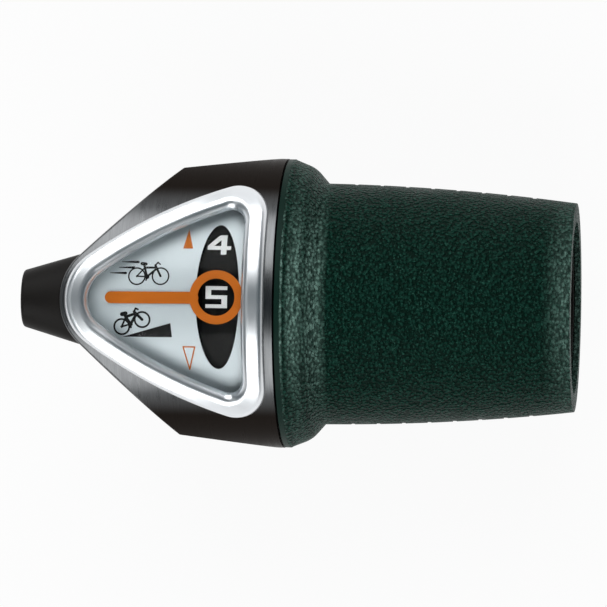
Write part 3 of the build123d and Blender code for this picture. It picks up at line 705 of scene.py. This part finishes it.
@dataclass
class PrintSheet:
    """Flat printed shapes, cut in plan and laid on a round surface about the bar axis.

    Lengths are in millimetres. A shape is a closed outline, and shapes that overlap are joined in one.
    Edges longer than the fineness are halved in a few passes, so that the sheet follows the surface.
    """

    name: str
    radius: float
    film: float = 0.03
    fineness: float = 0.5
    passes: int = 5
    end_steps: int = 8
    join_gap: float = 1e-4
    shapes: list[list[Point]] = field(default_factory=list)

    def polygon(self, *corners: Point) -> None:
        """Add a filled outline."""
        self.shapes.append(list(corners))

    def stroke(self, start: Point, end: Point, width: float, end_width: float | None = None) -> None:
        """Add a straight stroke with rounded ends, or one that narrows to its end.

        Args:
            start: First end.
            end: Second end.
            width: Width at the first end.
            end_width: Width at the second end, where it differs.
        """
        angle = math.atan2(end[1] - start[1], end[0] - start[0])
        last_width = width if end_width is None else end_width
        corners: list[Point] = []
        for (x, y), turn, size in ((start, 90.0, width), (end, -90.0, last_width)):
            for step in range(self.end_steps + 1):
                way = angle + math.radians(turn + 180.0 / self.end_steps * step)
                corners.append((x + size / 2 * math.cos(way), y + size / 2 * math.sin(way)))
        self.shapes.append(corners)

    def ring(self, centre: Point, outer: float, inner: float, steps: int = 64) -> None:
        """Add a round band as short four-cornered pieces.

        Args:
            centre: Middle of the band.
            outer: Outer radius.
            inner: Inner radius.
            steps: Number of pieces round it.
        """
        for step in range(steps):
            a, b = (math.tau * (step + k) / steps for k in (0, 1))
            self.shapes.append([
                (centre[0] + r * math.cos(t), centre[1] + r * math.sin(t))
                for r, t in ((inner, a), (outer, a), (outer, b), (inner, b))
            ])

    def disc(self, centre: Point, radius: float, steps: int) -> None:
        """Add a filled round spot.

        Args:
            centre: Middle of the spot.
            radius: Its radius.
            steps: Number of corners round it.
        """
        turns = [math.tau * step / steps for step in range(steps)]
        self.shapes.append([
            (centre[0] + radius * math.cos(t), centre[1] + radius * math.sin(t)) for t in turns
        ])

    def lay(
        self,
        material: bpy.types.Material,
        body: Body,
        wrapped_at: float | None = None,
    ) -> None:
        """Cut the shapes, lay them on the round surface and give them the thickness of a film.

        Args:
            material: Ink of the print.
            body: Body that carries it.
            wrapped_at: Angle from +Y about which the sheet is wrapped, where it isn't laid down in plan.
        """
        work = self._joined()
        for _ in range(self.passes):
            long = [edge for edge in work.edges if edge.calc_length() > self.fineness]
            if not long:
                break
            bmesh.ops.subdivide_edges(work, edges=long, cuts=1)
            bmesh.ops.triangulate(work, faces=work.faces)
        solid = bmesh.new()
        feet, tops = (
            {vert: solid.verts.new(self._placed(vert.co, radius, wrapped_at)) for vert in work.verts}
            for radius in (self.radius, self.radius + self.film)
        )
        for face in work.faces:
            solid.faces.new([tops[vert] for vert in face.verts])
            solid.faces.new([feet[vert] for vert in reversed(face.verts)])
        for edge in work.edges:
            if len(edge.link_faces) == 1:
                a, b = edge.link_loops[0].vert, edge.link_loops[0].link_loop_next.vert
                solid.faces.new([tops[b], tops[a], feet[a], feet[b]])
        bmesh.ops.recalc_face_normals(solid, faces=solid.faces)
        mesh = bpy.data.meshes.new(self.name)
        solid.to_mesh(mesh)
        solid.free()
        work.free()
        mesh.materials.append(material)
        piece = bpy.data.objects.new(self.name, mesh)
        bpy.context.scene.collection.objects.link(piece)
        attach(piece, body.value)
        LOG.info("%s has %d faces", self.name, len(mesh.polygons))

    def _joined(self) -> bmesh.types.BMesh:
        """Join the outlines into one flat sheet of triangles that face up.

        Returns:
            The sheet, in millimetres.
        """
        corners = [Vector(corner) for shape in self.shapes for corner in shape]
        loops: list[list[int]] = []
        for shape in self.shapes:
            first = sum(len(loop) for loop in loops)
            loop = list(range(first, first + len(shape)))
            loops.append(loop if self._area(shape) > 0 else loop[::-1])
        points, _, triangles, _, _, sources = delaunay_2d_cdt(corners, [], loops, 0, self.join_gap)
        sheet = bmesh.new()
        verts = [sheet.verts.new((point.x, point.y, 0.0)) for point in points]
        for triangle, inside in zip(triangles, sources):
            if inside:
                sheet.faces.new([verts[number] for number in triangle])
        loose = [vert for vert in verts if not vert.link_faces]
        bmesh.ops.delete(sheet, geom=loose, context="VERTS")
        return sheet

    @staticmethod
    def _area(shape: list[Point]) -> float:
        """Signed area of an outline."""
        pairs = zip(shape, shape[1:] + shape[:1])
        return sum(a[0] * b[1] - b[0] * a[1] for a, b in pairs) / 2

    @staticmethod
    def _placed(point: Vector, radius: float, wrapped_at: float | None) -> Vector:
        """Carry a plan point to the round surface.

        Args:
            point: Point of the sheet, in millimetres.
            radius: Radius of the surface, in millimetres.
            wrapped_at: Angle from +Y about which the sheet is wrapped, where it isn't laid down in plan.

        Returns:
            Its place, in metres.
        """
        if wrapped_at is None:
            return Vector((point.x, point.y, math.sqrt(radius**2 - point.y**2))) * MM
        turn = math.radians(wrapped_at) - point.y / radius
        return Vector((point.x, radius * math.cos(turn), radius * math.sin(turn))) * MM


@dataclass
class GearNumbers:
    """Block numerals printed round the drum, one for each gear, with lengths in millimetres.

    The bar and the post are shares of a numeral's height and width.
    """

    order: tuple[int, ...] = (5, 4, 3, 2, 1)
    centre_x: float = -8.67
    width: float = 3.2
    height: float = 3.2
    bar: float = 0.17
    post: float = 0.26
    top_angle: float = 88.2
    step: float = 25.0
    drum_radius: float = 18.3
    lift: float = 0.004
    film: float = 0.02

    def _blocks(self, digit: int) -> list[list[Point]]:
        """Filled outlines of one numeral in a box of one by one; the 1 and the 4 have shapes of their own.

        Args:
            digit: The numeral.

        Returns:
            Its outlines, which may touch and overlap.
        """
        h, w = self.bar, self.post
        upper, lower = (0.5 + h / 2, 1 - h), (h, 0.5 - h / 2)

        def beam(y: float) -> list[Point]:
            """Bar of a numeral over its whole width."""
            return [(0, y), (1, y), (1, y + h), (0, y + h)]

        def upright(x: float, y0: float, y1: float) -> list[Point]:
            """Post of a numeral."""
            return [(x, y0), (x + w, y0), (x + w, y1), (x, y1)]

        beams = [beam(1 - h), beam(0.5 - h / 2), beam(0)]
        return {
            1: [upright(0.42, 0, 1), [(0.14, 0.78), (0.42, 0.86), (0.42, 1), (0.3, 1)]],
            2: [*beams, upright(1 - w, *upper), upright(0, *lower)],
            3: [*beams, upright(1 - w, *upper), upright(1 - w, *lower)],
            4: [
                upright(0.62, 0, 0.24),
                [(0, 0.24), (1.08, 0.24), (1.08, 0.43), (0, 0.43)],
                upright(0.62, 0.43, 0.74),
                [(0, 0.43), (0.3, 0.43), (0.62, 0.74), (0.88, 0.74), (0.88, 1), (0.56, 1)],
            ],
            5: [*beams, upright(0, *upper), upright(1 - w, *lower)],
        }[digit]

    def build(self, finishes: FinishSet) -> None:
        """Print all numerals on the drum.

        Args:
            finishes: Finishes of the shifter.
        """
        for place, digit in enumerate(self.order):
            sheet = PrintSheet(f"gear_number_{digit}", self.drum_radius + self.lift, film=self.film)
            for block in self._blocks(digit):
                sheet.polygon(*[
                    (self.centre_x + (u - 0.5) * self.width, (v - 0.5) * self.height) for u, v in block
                ])
            angle = self.top_angle - place * self.step
            sheet.lay(finishes["white_ink"], Body.GRIP, wrapped_at=angle)


@dataclass
class DisplayPrint:
    """Orange pointer under the window, and the signs printed on the plate, in millimetres."""

    window_radius: float = 19.64
    plate_radius: float = 19.403
    ring_centre: Point = (-8.55, 0.55)
    ring_outer: float = 3.95
    ring_inner: float = 2.72
    bar_sink: float = 0.035
    bar_start: Point = (-24.1, 0.3)
    bar_gap: float = 0.75
    bar_rise: float = 0.1
    bar_width: float = 1.74
    full_arrow: tuple[Point, ...] = ((-13.72, 7.6), (-12.25, 7.6), (-13.05, 10.45))
    open_arrow: tuple[Point, ...] = ((-13.46, -6.75), (-11.74, -6.75), (-12.6, -10.0))
    arrow_line: float = 0.2
    fast_wheels: tuple[Point, Point] = ((-20.34, 3.44), (-16.85, 3.49))
    fast_line: float = 0.21
    speed_lines: tuple[Triple, ...] = ((-22.6, -20.2, 5.52), (-23.0, -20.8, 4.7), (-24.3, -22.0, 3.88))
    speed_widths: Span = (0.36, 0.08)
    hill_wheels: tuple[Point, Point] = ((-22.47, -3.95), (-19.45, -2.88))
    hill_line: float = 0.27
    hill: tuple[Point, ...] = ((-22.4, -5.42), (-15.07, -5.38), (-15.28, -3.33))
    wheel_share: float = 0.345
    crank_share: float = 0.1
    heavy_lines: float = 1.5
    saddle_lines: float = 2.2
    hub_lines: float = 0.75
    wheel_steps: int = 32
    hub_steps: int = 12
    crank_steps: int = 16

    def build(self, finishes: FinishSet) -> None:
        """Print the pointer and all signs.

        Args:
            finishes: Finishes of the shifter.
        """
        self._pointer(finishes["orange_ink"])
        self._arrows(finishes["orange_ink"])
        fast = PrintSheet("fast_rider_sign", self.plate_radius)
        self._bicycle(fast, *self.fast_wheels, self.fast_line)
        for left, right, y in self.speed_lines:
            fast.stroke((right, y), (left, y), *self.speed_widths)
        fast.lay(finishes["black_ink"], Body.HOUSING)
        hill = PrintSheet("hill_rider_sign", self.plate_radius)
        self._bicycle(hill, *self.hill_wheels, self.hill_line)
        hill.polygon(*self.hill)
        hill.lay(finishes["black_ink"], Body.HOUSING)

    def _pointer(self, ink: bpy.types.Material) -> None:
        """Print the ring round the gear number, and the bar that leads to it.

        Args:
            ink: Ink of both.
        """
        ring = PrintSheet("pointer_ring", self.window_radius)
        ring.ring(self.ring_centre, self.ring_outer, self.ring_inner)
        ring.lay(ink, Body.HOUSING)
        bar = PrintSheet("pointer_bar", self.window_radius - self.bar_sink)
        end = (self.ring_centre[0] - self.ring_inner - self.bar_gap, self.bar_start[1] + self.bar_rise)
        bar.stroke(self.bar_start, end, self.bar_width)
        bar.lay(ink, Body.HOUSING)

    def _arrows(self, ink: bpy.types.Material) -> None:
        """Print the full arrow and the outlined one.

        Args:
            ink: Ink of both.
        """
        arrows = PrintSheet("shift_arrows", self.plate_radius)
        arrows.polygon(*self.full_arrow)
        for start, end in zip(self.open_arrow, self.open_arrow[1:] + self.open_arrow[:1]):
            arrows.stroke(start, end, self.arrow_line)
        arrows.lay(ink, Body.HOUSING)

    def _bicycle(self, sheet: PrintSheet, rear: Point, front: Point, line: float) -> None:
        """Draw a plain bicycle from its two wheel centres, with sizes in wheel bases and line widths.

        Args:
            sheet: Sheet that it is drawn on.
            rear: Centre of the rear wheel.
            front: Centre of the front wheel.
            line: Width of the lines.
        """
        base = math.hypot(front[0] - rear[0], front[1] - rear[1])
        lean = math.atan2(front[1] - rear[1], front[0] - rear[0])
        wheel, heavy, saddle = self.wheel_share * base, self.heavy_lines * line, self.saddle_lines * line

        def at(u: float, v: float) -> Point:
            """Place of a point given in wheel bases along and above the wheel centres."""
            x, y = u * base, v * base
            return (
                rear[0] + x * math.cos(lean) - y * math.sin(lean),
                rear[1] + x * math.sin(lean) + y * math.cos(lean),
            )

        for hub in (rear, front):
            sheet.ring(hub, wheel + line / 2, wheel - line / 2, self.wheel_steps)
            sheet.disc(hub, self.hub_lines * line, self.hub_steps)
        crank, seat, stem, hand = at(0.43, -0.02), at(0.33, 0.36), at(0.77, 0.46), at(0.88, 0.58)
        sheet.stroke(seat, at(0.8, 0.36), heavy)
        sheet.stroke(crank, at(0.29, 0.5), heavy)
        sheet.stroke(crank, at(0.81, 0.3), heavy)
        sheet.stroke(rear, crank, line)
        sheet.stroke(rear, seat, line)
        sheet.stroke(stem, front, heavy)
        sheet.disc(crank, self.crank_share * base, self.crank_steps)
        sheet.stroke(crank, at(0.39, -0.17), line)
        sheet.stroke(at(0.2, 0.53), at(0.37, 0.51), saddle)
        sheet.stroke(stem, hand, line)
        sheet.stroke(hand, at(0.97, 0.5), line)


@dataclass
class ScrewThread:
    """Thread ridges on the shank of the clamp screw, set out with geometry nodes, in millimetres."""

    name: str = "clamp_screw_thread"
    axis_x: float = -21.35
    axis_z: float = -15.3
    start_y: float = 3.6
    end_y: float = -6.9
    pitch: float = 0.7
    root: float = 1.99
    ridge: float = 0.11
    round_steps: int = 32
    section_steps: int = 6

    def build(self, finishes: FinishSet) -> None:
        """Build the ridges and let them ride with the housing.

        Args:
            finishes: Finishes of the shifter.
        """
        tree = self._tree(finishes["plated_steel"])
        seed = bpy.data.meshes.new("thread_seed")
        holder = bpy.data.objects.new("thread_seed", seed)
        bpy.context.scene.collection.objects.link(holder)
        modifier = holder.modifiers.new("thread", "NODES")
        modifier.node_group = tree
        sizes = {
            "Start": (self.axis_x * MM, self.start_y * MM, self.axis_z * MM),
            "Pitch": self.pitch * MM,
            "Ridges": int((self.start_y - self.end_y) / self.pitch) + 1,
            "Root": self.root * MM,
            "Ridge": self.ridge * MM,
        }
        for item in tree.interface.items_tree:
            if item.in_out == "INPUT" and item.name in sizes:
                modifier[item.identifier] = sizes[item.name]
        graph = bpy.context.evaluated_depsgraph_get()
        made = bpy.data.meshes.new_from_object(holder.evaluated_get(graph))
        bpy.data.objects.remove(holder)
        bpy.data.meshes.remove(seed)
        made.name = self.name
        piece = bpy.data.objects.new(self.name, made)
        bpy.context.scene.collection.objects.link(piece)
        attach(piece, Body.HOUSING.value)
        LOG.info("%s has %d faces", self.name, len(made.polygons))

    def _tree(self, material: bpy.types.Material) -> bpy.types.NodeTree:
        """Node tree that sets one ridge at each pitch along the screw.

        Args:
            material: Finish of the ridges.

        Returns:
            The geometry node tree.
        """
        tree = bpy.data.node_groups.new("thread_ridges", "GeometryNodeTree")
        for label, way, kind in (
            ("Geometry", "INPUT", "Geometry"), ("Start", "INPUT", "Vector"), ("Pitch", "INPUT", "Float"),
            ("Ridges", "INPUT", "Int"), ("Root", "INPUT", "Float"), ("Ridge", "INPUT", "Float"),
            ("Geometry", "OUTPUT", "Geometry"),
        ):
            tree.interface.new_socket(name=label, in_out=way, socket_type=f"NodeSocket{kind}")
        wiring = Wiring(tree)
        source = wiring.add("NodeGroupInput").outputs
        step = wiring.maths("MULTIPLY", source["Pitch"], -1.0)
        offset = wiring.add("ShaderNodeCombineXYZ", {"Y": step}).outputs["Vector"]
        row = wiring.add(
            "GeometryNodeMeshLine",
            {"Count": source["Ridges"], "Start Location": source["Start"], "Offset": offset},
        ).outputs["Mesh"]
        circle = "GeometryNodeCurvePrimitiveCircle"
        path, section = (
            wiring.add(circle, {"Resolution": steps, "Radius": radius}).outputs["Curve"]
            for steps, radius in ((self.round_steps, source["Root"]), (self.section_steps, source["Ridge"]))
        )
        sweep = wiring.add("GeometryNodeCurveToMesh", {"Curve": path, "Profile Curve": section})
        turned = wiring.add(
            "GeometryNodeTransform",
            {"Geometry": sweep.outputs["Mesh"], "Rotation": (math.pi / 2, 0.0, 0.0)},
        ).outputs["Geometry"]
        spread = wiring.add("GeometryNodeInstanceOnPoints", {"Points": row, "Instance": turned})
        shape = spread.outputs["Instances"]
        for kind in ("GeometryNodeRealizeInstances", "GeometryNodeSetShadeSmooth"):
            shape = wiring.add(kind, {"Geometry": shape}).outputs["Geometry"]
        painted = wiring.add("GeometryNodeSetMaterial", {"Geometry": shape, "Material": material})
        wiring.add("NodeGroupOutput", {"Geometry": painted.outputs["Geometry"]})
        return tree


@dataclass
class SoftLight:
    """One rectangular studio lamp that faces the part; its power follows from its radiance and size."""

    name: str
    place: Place
    size: Span
    radiance: float

    def build(self) -> None:
        """Hang the lamp and turn it to the part."""
        lamp = bpy.data.lights.new(self.name, "AREA")
        lamp.shape = "RECTANGLE"
        lamp.size, lamp.size_y = self.size
        lamp.energy = self.radiance * math.pi * self.size[0] * self.size[1]
        holder = bpy.data.objects.new(self.name, lamp)
        holder.location = self.place
        holder.rotation_euler = Vector(self.place).to_track_quat("Z", "Y").to_euler()
        bpy.context.scene.collection.objects.link(holder)


@dataclass
class Studio:
    """Pale floor, dim room, soft lamps and the camera, which leans and rolls by angles in degrees.

    The room turns from the horizon's colour to the overhead one where a direction's height is in the rise.
    """

    floor_size: float = 6.0
    floor_drop: float = 0.2 * MM
    floor_colour: Colour = (0.8, 0.8, 0.8)
    floor_rough: float = 0.9
    floor_specular: float = 0.1
    floor_white: float = 0.93
    horizon: Colour = (0.9, 0.9, 0.9)
    overhead: Colour = (0.03, 0.05, 0.06)
    rise: Span = (0.02, 0.16)
    target: Place = (2.29 * MM, 0.01 * MM, 0.0)
    lean: Span = (5.93, -0.52)
    roll: float = 0.957
    distance: float = 0.85
    lens: float = 337.14
    sensor: float = 36.0
    clip: Span = (0.01, 50.0)
    lamps: tuple[SoftLight, ...] = (
        SoftLight("upper_side_softbox", (-0.04, 0.5, 0.43), (0.68, 0.56), 3.15),
        SoftLight("lower_side_softbox", (-0.04, -0.5, 0.43), (0.68, 0.56), 2.9),
        SoftLight("left_overhead", (-0.5, 0.0, 0.6), (0.5, 0.5), 0.3),
    )

    def build(self) -> None:
        """Set up the floor, the room, the lamps and the camera."""
        self._floor()
        self._room()
        for lamp in self.lamps:
            lamp.build()
        self._camera()
        bpy.context.scene.view_settings.view_transform = "Standard"

    def _floor(self) -> None:
        """Lay a pale floor under the part that shows white and keeps a faint shadow."""
        low = CAD_BOX[0].z - self.floor_drop
        half = self.floor_size / 2
        corners = [(-half, -half, low), (half, -half, low), (half, half, low), (-half, half, low)]
        mesh = bpy.data.meshes.new("floor")
        mesh.from_pydata(corners, [], [(0, 1, 2, 3)])
        material, wiring, shader = new_material("pale_floor")
        shader.inputs["Base Color"].default_value = (*self.floor_colour, 1.0)
        shader.inputs["Roughness"].default_value = self.floor_rough
        shader.inputs["Specular IOR Level"].default_value = self.floor_specular
        rays = wiring.add("ShaderNodeLightPath").outputs
        seen = rays["Is Camera Ray"]
        for label in ("Is Glossy Ray", "Is Transmission Ray"):
            seen = wiring.maths("MAXIMUM", seen, rays[label])
        share = wiring.maths("MULTIPLY", seen, self.floor_white)
        white = wiring.add("ShaderNodeEmission", {"Strength": 1.0}).outputs["Emission"]
        mix = wiring.add("ShaderNodeMixShader", {"Fac": share, 1: shader.outputs["BSDF"], 2: white})
        surface = wiring.tree.nodes["Material Output"].inputs["Surface"]
        wiring.feed(surface, mix.outputs["Shader"])
        mesh.materials.append(material)
        floor = bpy.data.objects.new("floor", mesh)
        bpy.context.scene.collection.objects.link(floor)

    def _room(self) -> None:
        """Paint the room: pale round the horizon and dim overhead."""
        world = bpy.data.worlds.new("room")
        bpy.context.scene.world = world
        world.use_nodes = True
        wiring = Wiring(world.node_tree)
        way = wiring.add("ShaderNodeTexCoord").outputs["Generated"]
        height = wiring.add("ShaderNodeSeparateXYZ", {"Vector": way}).outputs["Z"]
        shade = wiring.mixed(wiring.ranged(height, self.rise, shape=SMOOTH), self.horizon, self.overhead)
        wiring.feed(wiring.tree.nodes["Background"].inputs["Color"], shade)

    def _camera(self) -> None:
        """Place the camera above the display, leaning towards the open end of the grip."""
        lean = [math.sin(math.radians(angle)) for angle in self.lean]
        back = Vector((lean[0], lean[1], 1.0)).normalized()
        right = Vector((0.0, 1.0, 0.0)).cross(back).normalized()
        up = back.cross(right)
        turn = math.radians(self.roll)
        across = right * math.cos(turn) + up * math.sin(turn)
        upward = up * math.cos(turn) - right * math.sin(turn)
        camera = bpy.data.cameras.new("camera")
        camera.lens = self.lens
        camera.sensor_width = self.sensor
        camera.clip_start, camera.clip_end = self.clip
        holder = bpy.data.objects.new("camera", camera)
        axes = Matrix((across, upward, back)).transposed().to_4x4()
        holder.matrix_world = Matrix.Translation(Vector(self.target) + back * self.distance) @ axes
        bpy.context.scene.collection.objects.link(holder)
        bpy.context.scene.camera = holder


def main() -> None:
    """Dress the solids, print the display, build the small pieces and light the scene."""
    logging.basicConfig(level=logging.INFO, format="%(name)s: %(message)s")
    finishes = FinishSet()
    SolidParts().dress(finishes)
    GearNumbers().build(finishes)
    DisplayPrint().build(finishes)
    ScrewThread().build(finishes)
    Studio().build()


if __name__ == "__main__":
    main()
